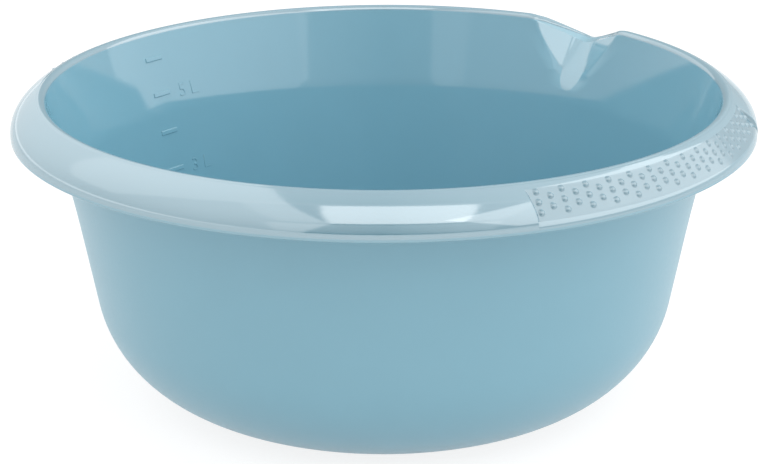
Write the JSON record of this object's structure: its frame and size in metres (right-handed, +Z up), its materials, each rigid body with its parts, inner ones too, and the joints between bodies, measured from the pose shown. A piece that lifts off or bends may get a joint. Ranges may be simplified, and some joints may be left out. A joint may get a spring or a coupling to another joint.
{
  "type": "round bowl",
  "caption": "Round plastic bowl with a turned-over rim, a pouring spout through the rim, studded grip pads on both sides and raised litre marks inside.",
  "frame": {"origin": "centre of the standing ring under the base, on the ground", "axes": "+Z up, +Y out through the pouring spout, +X out through the right grip pad; the litre marks are on the inner wall at -X"},
  "size_m": [0.3198, 0.32, 0.1353],
  "materials": {
    "bowl_plastic": "semi-gloss light dusty blue polypropylene",
    "grip_plastic": "satin light dusty blue, with low round studs"
  },
  "bodies": {
    "root": {"bowl_shell": "bowl_plastic", "grip_pad_right": "grip_plastic", "grip_pad_left": "grip_plastic"}
  },
  "joints": []
}
